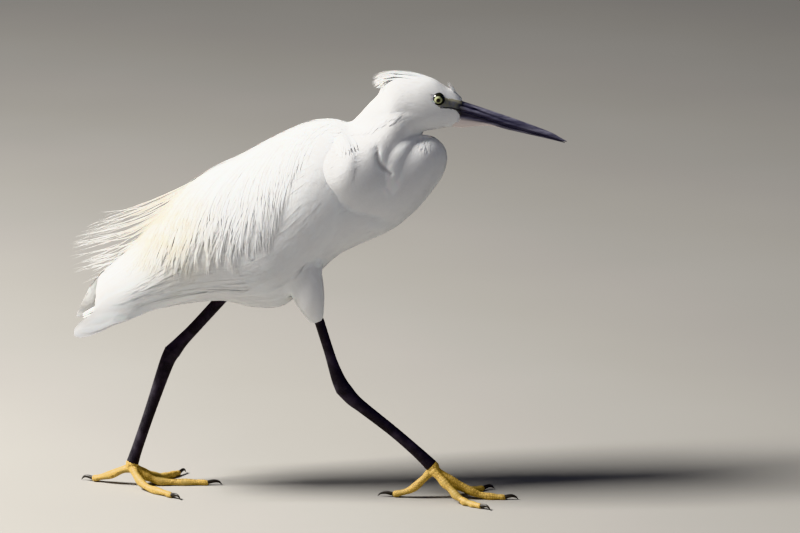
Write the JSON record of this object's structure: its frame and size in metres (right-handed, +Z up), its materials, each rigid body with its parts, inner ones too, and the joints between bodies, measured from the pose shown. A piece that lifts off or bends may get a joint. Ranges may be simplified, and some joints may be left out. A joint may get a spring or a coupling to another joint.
{
  "type": "little egret figure",
  "caption": "Life-size little egret caught in mid-stride, one leg forward and one behind, neck drawn in, plumes over its back.",
  "frame": {"origin": "on the floor, under the middle of the bird's whole length and breadth", "axes": "+X forwards, along the stride and the bill; +Y to the bird's left; +Z up"},
  "size_m": [0.4064, 0.1178, 0.3589],
  "materials": {
    "feather": "matt white plumage, faintly creamy on the plumes",
    "bill": "satin blue-black horn, greyer at the base of the lower half",
    "eye": "wet, pale yellow iris round a black pupil",
    "leg": "blackish scaled skin, satin",
    "toe": "ochre yellow scaled skin, olive in its folds",
    "claw": "black horn, satin"
  },
  "bodies": {
    "root": {"head": "feather", "bill_upper": "bill", "bill_lower": "bill", "eye_right": "eye", "eye_left": "eye", "neck_upper": "feather", "neck_lower": "feather", "torso": "feather", "mantle": "feather", "wing_right": "feather", "wing_left": "feather", "tail": "feather", "thigh_right": "feather", "shank_right": "leg", "tarsus_right": "leg", "foot_right": "toe", "claw_right_hallux": "claw", "claw_right_inner": "claw", "claw_right_middle": "claw", "claw_right_outer": "claw", "thigh_left": "feather", "shank_left": "leg", "tarsus_left": "leg", "foot_left": "toe", "claw_left_hallux": "claw", "claw_left_inner": "claw", "claw_left_middle": "claw", "claw_left_outer": "claw"}
  },
  "joints": []
}
